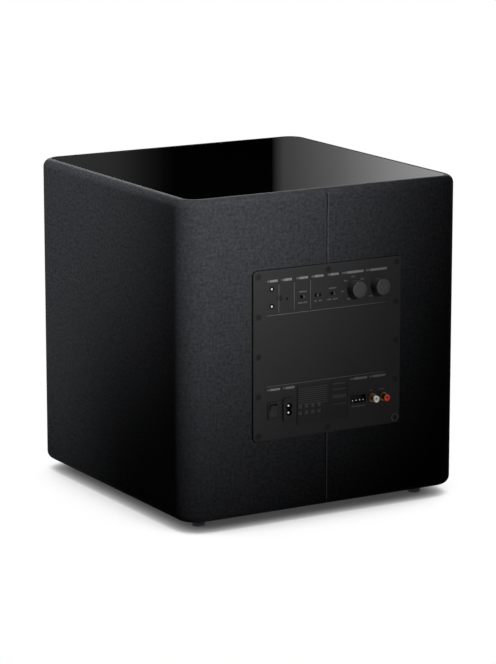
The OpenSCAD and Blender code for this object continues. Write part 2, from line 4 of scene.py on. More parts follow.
import bmesh
import bpy
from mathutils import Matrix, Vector


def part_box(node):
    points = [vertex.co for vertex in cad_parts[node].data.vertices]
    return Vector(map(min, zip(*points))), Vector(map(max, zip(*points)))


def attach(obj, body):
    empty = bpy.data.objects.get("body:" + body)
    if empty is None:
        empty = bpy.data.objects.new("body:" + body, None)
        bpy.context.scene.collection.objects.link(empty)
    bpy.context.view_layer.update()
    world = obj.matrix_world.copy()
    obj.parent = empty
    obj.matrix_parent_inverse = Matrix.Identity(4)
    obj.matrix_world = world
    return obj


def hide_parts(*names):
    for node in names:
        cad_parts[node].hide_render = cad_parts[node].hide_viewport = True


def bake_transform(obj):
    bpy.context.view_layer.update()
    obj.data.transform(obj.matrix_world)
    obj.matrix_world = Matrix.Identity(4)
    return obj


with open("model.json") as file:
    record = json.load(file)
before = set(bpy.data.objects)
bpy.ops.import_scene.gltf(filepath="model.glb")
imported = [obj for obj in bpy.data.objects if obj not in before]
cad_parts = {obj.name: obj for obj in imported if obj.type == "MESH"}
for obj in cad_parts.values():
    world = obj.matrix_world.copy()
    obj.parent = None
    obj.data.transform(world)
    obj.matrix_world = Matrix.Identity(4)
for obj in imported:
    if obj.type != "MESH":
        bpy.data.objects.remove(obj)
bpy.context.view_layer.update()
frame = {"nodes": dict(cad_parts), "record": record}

# The cube subwoofer's looks, built around its CAD frame. Lengths are in metres, in the row frame:
# +Z up, the driver faces -Y and the amplifier plate faces +Y.

MM = 0.001
scene = bpy.context.scene
nodes = frame["nodes"]

body_lo, body_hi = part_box("fabric_wrap")
plate_lo, plate_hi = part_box("amp_plate")
top_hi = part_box("top_panel")[1]
BODY_MID = (body_lo + body_hi) / 2
PLATE_MID = (plate_lo + plate_hi) / 2
PLATE_FACE = plate_hi.y
CORNER_R = 28 * MM
EDGE_R = 10.5 * MM
CLOTH_T = 0.8 * MM
BOTTOM_TURN = 25 * MM
CUTOUT_HALF = 92 * MM


# Camera ------------------------------------------------------------------------------------------

VIEW_AZIMUTH = math.radians(149.75)
VIEW_PITCH = math.radians(12.3)
VIEW_DISTANCE = 3.877
AIM_RIGHT = 3.7 * MM
AIM_HEIGHT = 181.9 * MM
LENS = 164.3
SENSOR = 36

VIEW_BACK = Vector((math.sin(VIEW_AZIMUTH) * math.cos(VIEW_PITCH),
                    -math.cos(VIEW_AZIMUTH) * math.cos(VIEW_PITCH), math.sin(VIEW_PITCH)))
VIEW_RIGHT = Vector((math.cos(VIEW_AZIMUTH), math.sin(VIEW_AZIMUTH), 0))


def make_camera():
    data = bpy.data.cameras.new("camera")
    data.sensor_width = SENSOR
    data.lens = LENS
    data.clip_end = 50
    camera = bpy.data.objects.new("camera", data)
    aim = Vector((0, BODY_MID.y, body_lo.z + AIM_HEIGHT)) + VIEW_RIGHT * AIM_RIGHT
    camera.location = aim + VIEW_BACK * VIEW_DISTANCE
    camera.rotation_mode = "QUATERNION"
    camera.rotation_quaternion = (-VIEW_BACK).to_track_quat("-Z", "Y")
    scene.collection.objects.link(camera)
    scene.camera = camera


# Node graphs -------------------------------------------------------------------------------------

class Graph:
    """A short way to write shader nodes: add() makes one, join() links two sockets."""

    def __init__(self, tree):
        self.tree = tree
        tree.nodes.clear()

    def add(self, kind, **settings):
        made = self.tree.nodes.new("ShaderNode" + kind)
        for name, value in settings.items():
            setattr(made, name, value)
        return made

    def join(self, source, target):
        self.tree.links.new(source, target)

    def feed(self, socket, value):
        if isinstance(value, bpy.types.NodeSocket):
            self.join(value, socket)
        else:
            socket.default_value = value

    def math(self, operation, a, b=0.0, c=0.0):
        made = self.add("Math", operation=operation)
        for socket, value in zip(made.inputs, (a, b, c)):
            self.feed(socket, value)
        return made.outputs[0]

    def noise(self, vector, scale, detail=3.0, roughness=0.55):
        made = self.add("TexNoise")
        self.join(vector, made.inputs["Vector"])
        made.inputs["Scale"].default_value = scale
        made.inputs["Detail"].default_value = detail
        made.inputs["Roughness"].default_value = roughness
        return made.outputs["Fac"]

    def stretch(self, vector, factors):
        made = self.add("VectorMath", operation="MULTIPLY")
        self.join(vector, made.inputs[0])
        made.inputs[1].default_value = factors
        return made.outputs[0]

    def span(self, value, low, high):
        """value from 0..1 onto low..high, clamped."""
        made = self.add("MapRange")
        self.feed(made.inputs["Value"], value)
        made.inputs["To Min"].default_value = low
        made.inputs["To Max"].default_value = high
        return made.outputs["Result"]

    def contrast(self, value, half):
        """A 0..1 value stretched about its middle, so that 0.5 - half..0.5 + half fills 0..1."""
        made = self.add("MapRange")
        self.feed(made.inputs["Value"], value)
        made.inputs["From Min"].default_value = 0.5 - half
        made.inputs["From Max"].default_value = 0.5 + half
        return made.outputs["Result"]

    def blend(self, factor, first, second):
        """A colour between first and second."""
        made = self.add("Mix", data_type="RGBA")
        self.feed(made.inputs["Factor"], factor)
        for socket, colour in ((made.inputs["A"], first), (made.inputs["B"], second)):
            if isinstance(colour, bpy.types.NodeSocket):
                self.join(colour, socket)
            else:
                socket.default_value = (*colour, 1)
        return made.outputs["Result"]

    def ramp(self, stops):
        """A grey ramp through the (place, brightness) stops."""
        made = self.add("ValToRGB")
        elements = made.color_ramp.elements
        while len(elements) < len(stops):
            elements.new(0.5)
        for element, (at, value) in zip(elements, stops):
            element.position = at
            element.color = (value, value, value, 1)
        return made

    def bump(self, height, strength, distance):
        made = self.add("Bump")
        made.inputs["Strength"].default_value = strength
        made.inputs["Distance"].default_value = distance
        self.join(height, made.inputs["Height"])
        return made.outputs["Normal"]


def new_material(name):
    """An empty material: its graph, its principled shader and the object-space coordinates."""
    made = bpy.data.materials.new(name)
    made.use_nodes = True
    graph = Graph(made.node_tree)
    output = graph.add("OutputMaterial")
    shader = graph.add("BsdfPrincipled")
    graph.join(shader.outputs[0], output.inputs["Surface"])
    place = graph.add("TexCoord").outputs["Object"]
    return made, graph, shader, place


def scaled(colour, factor):
    return tuple(min(1.0, c * factor) for c in colour)


def moulded(name, colour, roughness=0.5, grain=900, bump=0.12, metallic=0.0, depth=0.05 * MM,
            variation=0.18, stretch=(1, 1, 1), coat=0.0, specular=0.5):
    """Plastic, paint, rubber or metal: a fine surface grain with slight wear in tone and gloss."""
    made, graph, shader, place = new_material(name)
    fine = graph.noise(graph.stretch(place, stretch), grain, 4)
    broad = graph.noise(place, 22, 3)
    mixed = graph.math("ADD", graph.math("MULTIPLY", fine, 0.6), graph.math("MULTIPLY", broad, 0.4))
    graph.join(graph.blend(mixed, scaled(colour, 1 - variation), scaled(colour, 1 + variation)),
               shader.inputs["Base Color"])
    graph.join(graph.span(broad, max(0.02, roughness - 0.07), min(1, roughness + 0.07)),
               shader.inputs["Roughness"])
    graph.join(graph.bump(fine, bump, depth), shader.inputs["Normal"])
    shader.inputs["Metallic"].default_value = metallic
    shader.inputs["Coat Weight"].default_value = coat
    shader.inputs["Specular IOR Level"].default_value = specular
    return made


def fibreboard(name, colour):
    """Raw board: short pressed fibres with darker flecks."""
    made, graph, shader, place = new_material(name)
    fibre = graph.noise(graph.stretch(place, (1, 1, 3)), 420, 6, 0.7)
    fleck = graph.noise(place, 1600, 2)
    tone = graph.math("MULTIPLY", fibre, graph.span(fleck, 0.75, 1.15))
    graph.join(graph.blend(tone, scaled(colour, 0.55), scaled(colour, 1.35)),
               shader.inputs["Base Color"])
    shader.inputs["Roughness"].default_value = 0.85
    graph.join(graph.bump(fibre, 0.3, 0.2 * MM), shader.inputs["Normal"])
    return made


THREAD = 0.72 * MM      # pitch of the weave's threads


def woven(name, dark, light, sheen=0.04, pitch=THREAD):
    """Plain weave over a (length, height) UV map in metres, with slubs and mottled yarn."""
    made, graph, shader, _ = new_material(name)
    uv = graph.add("TexCoord").outputs["UV"]
    split = graph.add("SeparateXYZ")
    graph.join(uv, split.inputs[0])
    along, up = split.outputs["X"], split.outputs["Y"]
    turn = math.pi / pitch
    warp = graph.math("ABSOLUTE", graph.math("SINE", graph.math("MULTIPLY", along, turn)))
    weft = graph.math("ABSOLUTE", graph.math("SINE", graph.math("MULTIPLY", up, turn)))
    over = graph.math("MULTIPLY", graph.math("COSINE", graph.math("MULTIPLY", along, turn)),
                      graph.math("COSINE", graph.math("MULTIPLY", up, turn)))
    pick = graph.math("GREATER_THAN", over, 0.0)
    height = graph.math("ADD", graph.math("MULTIPLY", warp, pick),
                        graph.math("MULTIPLY", weft, graph.math("SUBTRACT", 1.0, pick)))
    slubs = [graph.contrast(graph.noise(graph.stretch(uv, way), 520, 1), 0.3)
             for way in ((1, 0.1, 1), (0.1, 1, 1))]
    mottle = graph.contrast(graph.noise(uv, 260, 2), 0.2)
    cloud = graph.noise(uv, 30, 3)
    slub = graph.math("MULTIPLY", graph.math("ADD", *slubs), 0.5)
    tone = graph.math("MULTIPLY_ADD", height, 0.12, graph.math("MULTIPLY", slub, 0.42))
    tone = graph.math("MULTIPLY_ADD", mottle, 0.46, tone)
    tone = graph.math("MULTIPLY", tone, graph.span(cloud, 0.92, 1.08))
    graph.join(graph.blend(tone, dark, light), shader.inputs["Base Color"])
    shader.inputs["Roughness"].default_value = 0.9
    shader.inputs["Specular IOR Level"].default_value = 0.008
    shader.inputs["Sheen Weight"].default_value = sheen
    shader.inputs["Sheen Roughness"].default_value = 0.45
    shader.inputs["Sheen Tint"].default_value = (0.55, 0.58, 0.63, 1)
    relief = graph.math("ADD", height, graph.math("MULTIPLY", slub, 1.2))
    graph.join(graph.bump(relief, 0.35, 0.18 * MM), shader.inputs["Normal"])
    return made


def gloss(name, colour):
    """Polished black sheet: near-mirror finish with the faintest haze."""
    made, graph, shader, place = new_material(name)
    haze = graph.noise(place, 9, 4)
    graph.join(graph.blend(haze, scaled(colour, 0.8), scaled(colour, 1.2)),
               shader.inputs["Base Color"])
    graph.join(graph.span(haze, 0.0006, 0.002), shader.inputs["Roughness"])
    shader.inputs["IOR"].default_value = 1.5
    return made


def metal(name, colour, roughness=0.3, stretch=(1, 1, 1), grain=1500, bump=0.08):
    return moulded(name, colour, roughness, grain, bump, metallic=1.0, stretch=stretch,
                   variation=0.1, depth=0.03 * MM)


def wadded(name, colour):
    """Loose fibre wadding."""
    made, graph, shader, place = new_material(name)
    strands = graph.noise(graph.stretch(place, (1, 0.3, 0.5)), 500, 8, 0.8)
    graph.join(graph.blend(strands, scaled(colour, 0.7), scaled(colour, 1.15)),
               shader.inputs["Base Color"])
    shader.inputs["Roughness"].default_value = 1.0
    shader.inputs["Sheen Weight"].default_value = 0.4
    graph.join(graph.bump(strands, 0.7, 1.5 * MM), shader.inputs["Normal"])
    return made


MATERIALS = {
    "cloth": woven("cloth", (0.0042, 0.0044, 0.0049), (0.0229, 0.0237, 0.0258)),
    "gloss_top": gloss("gloss_top", (0.0003, 0.0003, 0.0003)),
    "fibreboard": fibreboard("fibreboard", (0.42, 0.3, 0.19)),
    "black_board": moulded("black_board", (0.02, 0.02, 0.02), 0.7, 300, 0.2),
    "wadding": wadded("wadding", (0.8, 0.79, 0.76)),
    "guard_steel": moulded("guard_steel", (0.02, 0.02, 0.02), 0.4, 600),
    "rubber": moulded("rubber", (0.018, 0.018, 0.018), 0.75, 500, 0.2),
    "zinc_steel": metal("zinc_steel", (0.42, 0.42, 0.41), 0.4),
    "black_steel": moulded("black_steel", (0.0022, 0.0022, 0.0022), 0.55, 900, 0.1, specular=0.13),
    "basket": moulded("basket", (0.03, 0.03, 0.032), 0.5, 700, 0.25),
    "surround_rubber": moulded("surround_rubber", (0.02, 0.02, 0.02), 0.45, 400, 0.08),
    "cone_paper": moulded("cone_paper", (0.035, 0.035, 0.037), 0.7, 260, 0.3, depth=0.2 * MM),
    "cap_paper": moulded("cap_paper", (0.028, 0.028, 0.03), 0.6, 260, 0.2, depth=0.2 * MM),
    "spider_cloth": moulded("spider_cloth", (0.5, 0.33, 0.12), 0.8, 1200, 0.5, depth=0.2 * MM),
    "former": metal("former", (0.7, 0.7, 0.68), 0.3),
    "copper": metal("copper", (0.8, 0.38, 0.2), 0.3, (1, 8, 1), 900, 0.6),
    "plated_iron": metal("plated_iron", (0.6, 0.6, 0.58), 0.4),
    "ferrite": moulded("ferrite", (0.06, 0.06, 0.065), 0.6, 700, 0.3),
    "foam": moulded("foam", (0.015, 0.015, 0.015), 0.95, 1500, 0.6, depth=0.3 * MM),
    "phenolic": moulded("phenolic", (0.22, 0.05, 0.03), 0.5, 800),
    "lead_pvc": moulded("lead_pvc", (0.4, 0.045, 0.035), 0.45, 700),
    "plate_paint": moulded("plate_paint", (0.003, 0.003, 0.0031), 0.72, 1300, 0.2,
                           depth=0.05 * MM, variation=0.12, specular=0.19),
    "sheet_steel": metal("sheet_steel", (0.6, 0.61, 0.62), 0.35, (1, 1, 6), 300, 0.05),
    "pcb": moulded("pcb", (0.015, 0.11, 0.045), 0.35, 400, 0.1, coat=0.3),
    "post_brass": metal("post_brass", (0.75, 0.6, 0.3), 0.3),
    "winding": moulded("winding", (0.6, 0.4, 0.12), 0.4, 500, 0.2),
    "can": moulded("can", (0.025, 0.035, 0.09), 0.3, 500, 0.05, coat=0.4),
    "sink": metal("sink", (0.75, 0.76, 0.77), 0.35, (1, 6, 1)),
    "pot_metal": metal("pot_metal", (0.4, 0.4, 0.41), 0.4),
    "shaft_metal": metal("shaft_metal", (0.65, 0.65, 0.66), 0.25, (1, 6, 1)),
    "knob_plastic": moulded("knob_plastic", (0.008, 0.008, 0.0081), 0.55, 1100, 0.1, specular=0.35),
    "black_plastic": moulded("black_plastic", (0.003, 0.003, 0.0031), 0.6, 1200, 0.15, specular=0.15),
    "rocker_plastic": moulded("rocker_plastic", (0.0045, 0.0045, 0.0046), 0.55, 1200, 0.1, specular=0.2),
    "pin_metal": metal("pin_metal", (0.85, 0.84, 0.82), 0.2),
    "slider_plastic": moulded("slider_plastic", (0.016, 0.016, 0.0162), 0.6, 1000, 0.15, specular=0.25),
    "led_lens": moulded("led_lens", (0.0008, 0.0008, 0.001), 0.3, 500, 0.02, specular=0.05),
    "nickel": metal("nickel", (0.85, 0.84, 0.82), 0.22),
    "gold": metal("gold", (0.2, 0.115, 0.04), 0.4, (1, 5, 1)),
    "white_plastic": moulded("white_plastic", (0.9, 0.9, 0.88), 0.4, 900, 0.05, variation=0.03),
    "red_plastic": moulded("red_plastic", (0.85, 0.05, 0.035), 0.4, 900, 0.05, variation=0.06),
    "label_film": moulded("label_film", (0.002, 0.002, 0.002), 0.7, 1000, 0.05, specular=0.16),
}
PRINT_BRIGHT = moulded("print_bright", (0.085, 0.085, 0.085), 0.8, 1500, 0.05, variation=0.08)
PRINT_DIM = moulded("print_dim", (0.036, 0.036, 0.036), 0.8, 1500, 0.05, variation=0.08)
PRINT_FAINT = moulded("print_faint", (0.02, 0.02, 0.02), 0.8, 1500, 0.05, variation=0.08,
                      specular=0.2)
# Black for print on the label, and for the painted shade in the seam, round the plate and in the screw
# wells
PRINT_AND_SHADE_BLACK = moulded("print_and_shade_black", (0.001, 0.001, 0.001), 0.8, 1500, 0.05, specular=0.03)
SEAM_THREAD = moulded("seam_thread", (0.018, 0.0185, 0.02), 0.5, 2500, 0.3, specular=0.6)


SHARP_ANGLE = math.radians(28)


def dress_cad_nodes():
    """Every CAD node takes the material of its slot, and shades smooth where it is round."""
    slot_of = {s["node"]: s["material_slot"] for s in frame["record"]["subparts"]}
    for name, node in nodes.items():
        node.data.materials.clear()
        node.data.materials.append(MATERIALS[slot_of[name]])
        node.data.shade_smooth()
        node.data.set_sharp_from_angle(angle=SHARP_ANGLE)


# Building meshes -----------------------------------------------------------------------------------

def make_object(name, verts, faces, material, body="cabinet", smooth=True):
    mesh = bpy.data.meshes.new(name)
    mesh.from_pydata([tuple(v) for v in verts], [], faces)
    mesh.validate()
    for face in mesh.polygons:
        face.use_smooth = smooth
    mesh.materials.append(material)
    made = bpy.data.objects.new(name, mesh)
    scene.collection.objects.link(made)
    if body:
        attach(made, body)
    return made


# How finely the cloth is divided along and up the body
NEAR_SEAM = (0.3, 0.6, 1.0, 1.5, 2.2, 3.2, 5, 8)      # millimetres from the seam
BACK_STEP, CUT_CLEAR = 12 * MM, 5 * MM
TURN_STEPS, WALL_STEPS, HEIGHT_STEPS, EDGE_STEPS = 16, 28, 32, 12


def perimeter_stations():
    """(point on the outline, outward normal, length so far) round the body from the back seam."""
    half = Vector((body_hi.x - body_lo.x, body_hi.y - body_lo.y)) / 2
    mid = Vector((BODY_MID.x, BODY_MID.y))
    near_seam = [s * MM for s in NEAR_SEAM]
    run_x = half.x - CORNER_R
    steps = [i * BACK_STEP for i in range(2, int(run_x / BACK_STEP) + 1)]
    back = sorted(set([0.0, CUTOUT_HALF, run_x] + near_seam + steps))
    back = [x for x in back if x in (CUTOUT_HALF, run_x) or abs(x - CUTOUT_HALF) > CUT_CLEAR]
    stations = []

    def straight(start, end, count=None, at=None):
        offsets = at or [(end - start).length * i / count for i in range(count + 1)]
        way = (end - start).normalized()
        normal = Vector((-way.y, way.x))
        for d in offsets:
            stations.append((mid + start + way * d, normal))

    def corner(centre, first):
        for i in range(1, TURN_STEPS):
            a = math.radians(first - 90 * i / TURN_STEPS)
            normal = Vector((math.cos(a), math.sin(a)))
            stations.append((mid + centre + normal * CORNER_R, normal))

    def xy(x, y):
        return Vector((x, y))

    run_y = half.y - CORNER_R
    straight(xy(0, half.y), xy(run_x, half.y), at=back)
    corner(xy(run_x, run_y), 90)
    straight(xy(half.x, run_y), xy(half.x, -run_y), WALL_STEPS)
    corner(xy(run_x, -run_y), 0)
    straight(xy(run_x, -half.y), xy(-run_x, -half.y), WALL_STEPS)
    corner(xy(-run_x, -run_y), -90)
    straight(xy(-half.x, -run_y), xy(-half.x, run_y), WALL_STEPS)
    corner(xy(-run_x, run_y), -180)
    straight(xy(-run_x, half.y), xy(0, half.y), at=[run_x - x for x in reversed(back)])
    lengths = [0.0]
    for (a, _), (b, _) in zip(stations, stations[1:]):
        lengths.append(lengths[-1] + (b - a).length)
    return [(p, n, s) for (p, n), s in zip(stations, lengths)]


def sleeve_profile():
    """(distance inside the outline, height) from the tuck beside the gloss top to the underside."""
    rim = EDGE_R + 0.05 * MM
    points = [(rim, top_hi.z - 2.2 * MM), (rim, top_hi.z - 0.3 * MM),
              (rim - 0.18 * MM, body_hi.z - 0.12 * MM), (rim - 0.6 * MM, body_hi.z)]
    for i in range(1, EDGE_STEPS + 1):
        a = math.radians(90 - 90 * i / EDGE_STEPS)
        points.append((EDGE_R * (1 - math.cos(a)), body_hi.z - EDGE_R * (1 - math.sin(a))))
    cuts = (PLATE_MID.z + CUTOUT_HALF, PLATE_MID.z - CUTOUT_HALF)
    top, low = body_hi.z - EDGE_R, body_lo.z + EDGE_R
    levels = [top - (top - low) * i / HEIGHT_STEPS for i in range(1, HEIGHT_STEPS)]
    levels = [z for z in levels if min(abs(z - c) for c in cuts) > CUT_CLEAR] + list(cuts)
    points += [(0.0, z) for z in sorted(levels, reverse=True)]
    for i in range(EDGE_STEPS + 1):
        a = math.radians(90 * i / EDGE_STEPS)
        points.append((EDGE_R * (1 - math.cos(a)), body_lo.z + EDGE_R * (1 - math.sin(a))))
    points.append((BOTTOM_TURN, body_lo.z))
    return points


SEAM_DEPTH = 0.7 * MM
SEAM_HALF = 0.7 * MM
SEAM_REACH = 9 * MM
PUCKER, PUCKER_AT, PUCKER_HALF = 0.3 * MM, 1.8 * MM, 1.1 * MM


def seam_sink(x, back_face):
    """How far the cloth dips at the seam, with a slight pucker beside it."""
    if not back_face or abs(x) > SEAM_REACH:
        return 0.0
    dip = SEAM_DEPTH * math.exp(-(x / SEAM_HALF) ** 2)
    pucker = PUCKER * math.exp(-((abs(x) - PUCKER_AT) / PUCKER_HALF) ** 2)
    return dip - pucker


FACES_BACK, TOUCH = 0.999, 1e-6


def make_sleeve():
    """The cloth sleeve: one seamed sheet round the body, tucked in at the top, turned under below."""
    stations = perimeter_stations()
    profile = sleeve_profile()
    climb = [0.0]
    for (i0, z0), (i1, z1) in zip(profile, profile[1:]):
        climb.append(climb[-1] + math.hypot(i1 - i0, z1 - z0))
    back_y = body_hi.y
    mesh = bpy.data.meshes.new("cloth_sleeve")
    work = bmesh.new()
    uv = work.loops.layers.uv.new("UVMap")
    count = len(stations) - 1
    grid = []
    for (inset, z) in profile:
        row = []
        for p, n, _ in stations[:-1]:
            on_back = n.y > FACES_BACK and p.y > back_y - TOUCH
            q = p - n * (inset + seam_sink(p.x, on_back))
            row.append(work.verts.new((q.x, q.y, z)))
        grid.append(row)
    lowest, highest = PLATE_MID.z - CUTOUT_HALF, PLATE_MID.z + CUTOUT_HALF
    for j in range(len(profile) - 1):
        z_mid = (profile[j][1] + profile[j + 1][1]) / 2
        for i in range(count):
            p0, n0, s0 = stations[i]
            p1, n1, s1 = stations[i + 1]
            x_mid = (p0.x + p1.x) / 2
            on_back = min(n0.y, n1.y) > FACES_BACK
            if on_back and abs(x_mid) < CUTOUT_HALF and lowest < z_mid < highest:
                continue
            k = (i + 1) % count
            face = work.faces.new((grid[j][i], grid[j + 1][i], grid[j + 1][k], grid[j][k]))
            face.smooth = True
            corners = ((s0, climb[j]), (s0, climb[j + 1]), (s1, climb[j + 1]), (s1, climb[j]))
            for loop, at in zip(face.loops, corners):
                loop[uv].uv = at
    bmesh.ops.recalc_face_normals(work, faces=work.faces)
    work.to_mesh(mesh)
    work.free()
    mesh.materials.append(MATERIALS["cloth"])
    made = bpy.data.objects.new("cloth_sleeve", mesh)
    scene.collection.objects.link(made)
    thicken = made.modifiers.new("thickness", "SOLIDIFY")
    thicken.thickness = CLOTH_T
    thicken.offset = -1
    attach(made, "cabinet")
    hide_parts("fabric_wrap")
    return made


# Print on the plate ----------------------------------------------------------------------------------

PRINT_T = 0.06 * MM
PRINT_SINK = 0.01 * MM
WORD_WIDTHS, WORD_GAP = (1.6, 1.2, 1.9, 1.4, 1.0, 1.7), 0.35


def plate_point(u, v, out):
    """A place on the plate: u to the right as seen from behind, v up, out of its front face."""
    return Vector((PLATE_MID.x - u * MM, PLATE_FACE + out, PLATE_MID.z + v * MM))


def print_boxes(name, bars, material, base=0.0):
    """Thin printed bars (centre u, centre v, width, height, turn in degrees) in millimetres."""
    verts, faces = [], []
    for u, v, width, height, turn in bars:
        a = math.radians(turn)
        ca, sa = math.cos(a), math.sin(a)
        start = len(verts)
        for out in (base - PRINT_SINK, base + PRINT_T):
            for du, dv in ((-1, -1), (1, -1), (1, 1), (-1, 1)):
                x, y = du * width / 2, dv * height / 2
                verts.append(plate_point(u + x * ca - y * sa, v + x * sa + y * ca, out))
        faces += [tuple(start + i for i in face) for face in (
            (3, 2, 1, 0), (4, 5, 6, 7), (0, 1, 5, 4), (1, 2, 6, 5), (2, 3, 7, 6), (3, 0, 4, 7))]
    return make_object(name, verts, faces, material, smooth=False)


def word_blocks(left, right, v, height):
    """A row of unreadable marks between two places, as small blocks of uneven width."""
    blocks, u, i = [], left, 0
    while u < right - 0.4:
        width = min(WORD_WIDTHS[i % len(WORD_WIDTHS)], right - u)
        blocks.append((u + width / 2, v, width, height, 0))
        u += width + WORD_GAP
        i += 1
    return blocks


# Captions above the controls and sockets: (left edge, right edge) in u
TOP_CAPTIONS = [(-86, -71), (-66, -51), (-45.1, -29), (-23.5, -6.8), (-0.5, 14.9), (19.9, 50.7),
                (54, 84.9)]
LOW_CAPTIONS = [(-86, -68), (-63.8, -47.6), (33.2, 57.4), (60.7, 84)]
TOP_V, LOW_V, CAPTION_H = 92, -42.4, 2.9
SMALL_H = 1.6
# Short words beside the switches, the sockets and the crossover dial: (left, right, v)
SMALL_WORDS = [(-41.5, -31, 74.8), (-42.5, -37, 61.2), (-35.5, -30, 61.2), (-19.5, -16, 61.2),
               (-13, -9, 61.2), (1, 12, 75), (-1, 5, 61.2), (7.5, 14, 61.2), (61, 65, -59.8),
               (74, 83, -59.8), (35, 54, -77.5)]
DIAL = (37.3, 72)
DIAL_WORDS = [(-1.5, 14.4), (-12.3, 10), (11.9, 10), (-16.5, -2.8), (-7.6, -13.1)]
VOLUME = (71.3, 72)
VOLUME_WORDS = [(-9.5, -12.4), (9, -12.4)]
LABEL = (-44.2, 29, -90.8, -42.6)      # the rating label: left, right, bottom, top
LABEL_T = 0.15 * MM
WORD_HALF = 2.2      # half the width of a short word round a dial
RULE_W, DIVIDER_H = 171, 35


def make_plate_print():
    captions = [c + (TOP_V,) for c in TOP_CAPTIONS] + [c + (LOW_V,) for c in LOW_CAPTIONS]
    bright, dim = [], []
    for left, right, v in captions:
        split = left + 0.22 * (right - left)
        dim += word_blocks(left, split, v, CAPTION_H - 0.6)
        bright += word_blocks(split + 0.5, right, v, CAPTION_H)
    for left, right, v in SMALL_WORDS:
        dim += word_blocks(left, right, v, SMALL_H)
    for centre, words in ((DIAL, DIAL_WORDS), (VOLUME, VOLUME_WORDS)):
        for du, dv in words:
            u, v = centre[0] + du, centre[1] + dv
            dim += word_blocks(u - WORD_HALF, u + WORD_HALF, v, SMALL_H)
    print_boxes("caption_print", bright, PRINT_BRIGHT)
    print_boxes("small_print", dim, PRINT_DIM)
    lines = [(-1, v, RULE_W, 0.55, 0) for v in (49.8, -38.1)]
    lines += [(u, 70, 0.5, DIVIDER_H, 0) for u in (-69.8, -48.1, -25.1)]
    print_boxes("panel_lines", lines, PRINT_DIM)
    left, right, bottom, top = LABEL
    rows = []
    for i in range(9):
        rows += word_blocks(left + 2.5, left + 44, top - 3 - 2.5 * i, 1.1)
    for v in (-68.5, -76.5):
        rows += [(left + 5 + 9 * k, v, 4.5, 4.5, 0) for k in range(4)]
    for v, height in ((-45.4, 1.8), (-52.7, 1.6), (-61.7, 4.2), (-71.4, 1.4)):
        rows += word_blocks(7.5, right - 1.5, v, height)
    print_boxes("label_rows", rows, PRINT_FAINT, base=LABEL_T)
    middle, tall = (top + bottom) / 2, top - bottom
    edges = [(left + 0.5, middle, 1, tall, 0), (right - 0.25, middle, 0.5, tall, 0)]
    print_boxes("label_edges", edges, PRINT_AND_SHADE_BLACK, base=LABEL_T)


def ring_mesh(u, v, inner, outer, out, steps=32):
    """A flat ring facing out of the plate; radii and place in millimetres, out in metres."""
    verts = []
    for i in range(steps):
        a = 2 * math.pi * i / steps
        for r in (inner, outer):
            verts.append(plate_point(u + r * math.cos(a), v + r * math.sin(a), out))
    faces = [(2 * i, 2 * i + 1, (2 * i + 3) % (2 * steps), (2 * i + 2) % (2 * steps))
             for i in range(steps)]
    return verts, faces


# Rings on the plate: (name, places, inner and outer radius, height off the face, material)
# The first rings are painted shade: black over the floor of each cover screw's well and the rim of its
# head
RINGS = [("screw_well_shade", [(-79.7, 60.8), (-79.7, 82.2)], (1.35, 3.35), -0.05, PRINT_AND_SHADE_BLACK),
         ("corner_ring", [(98.5, -98.5)], (3.9, 4.9), 0.06, PRINT_BRIGHT)]


def make_rings():
    """Black rings of painted shade in the wells round the two bright cover screws, and a bright ring
    round one screw.
    """
    for name, places, radii, depth, material in RINGS:
        verts, faces = [], []
        for u, v in places:
            ring, quads = ring_mesh(u, v, *radii, depth * MM)
            faces += [tuple(len(verts) + i for i in quad) for quad in quads]
            verts += ring
        make_object(name, verts, faces, material, smooth=False)


# Width, tuck under the plate and lift off the cloth of the black frame of painted shadow round the plate
SHADOW_FRAME_WIDTH, SHADOW_FRAME_TUCK, SHADOW_FRAME_LIFT = 0.6 * MM, 0.3 * MM, 0.05 * MM
PLATE_CORNER, CORNER_STEPS = 6.0 * MM, 8


def make_plate_painted_shadow():
    """A thin black frame of painted shadow where the cloth's cut edge meets the plate, just proud of the
    cloth.
    """
    verts, faces = [], []
    half_x = (plate_hi.x - plate_lo.x) / 2 - PLATE_CORNER
    half_z = (plate_hi.z - plate_lo.z) / 2 - PLATE_CORNER
    for quarter, (sx, sz) in enumerate(((1, 1), (-1, 1), (-1, -1), (1, -1))):
        for i in range(CORNER_STEPS + 1):
            a = math.pi / 2 * (quarter + i / CORNER_STEPS)
            for r in (PLATE_CORNER - SHADOW_FRAME_TUCK, PLATE_CORNER + SHADOW_FRAME_WIDTH):
                verts.append((PLATE_MID.x + sx * half_x + r * math.cos(a), body_hi.y + SHADOW_FRAME_LIFT,
                              PLATE_MID.z + sz * half_z + r * math.sin(a)))
    count = len(verts)
    for i in range(0, count, 2):
        j = (i + 2) % count
        faces.append((i, j, j + 1, i + 1))
    # The frame is painted shadow: black where the plate's contact shadow falls on the cloth
    make_object("plate_painted_shadow", verts, faces, PRINT_AND_SHADE_BLACK)


# The two strips of the seam: (name, centre, half width, foot, crown, material); foot and crown
# stand out from the cloth's face
SEAM_STRIPS = [("seam_thread", -1.2 * MM, 0.38 * MM, -0.1 * MM, 0.3 * MM, SEAM_THREAD),
               # The black strip is painted shade down the seam's groove
               ("seam_painted_shade", 0.05 * MM, 0.6 * MM, -0.22 * MM, -0.2 * MM, PRINT_AND_SHADE_BLACK)]
# Where the strips end: as a share of the edge radius, and off the plate
SEAM_END, SEAM_STOP, STRIP_STEP = 0.45, 0.3 * MM, 3 * MM


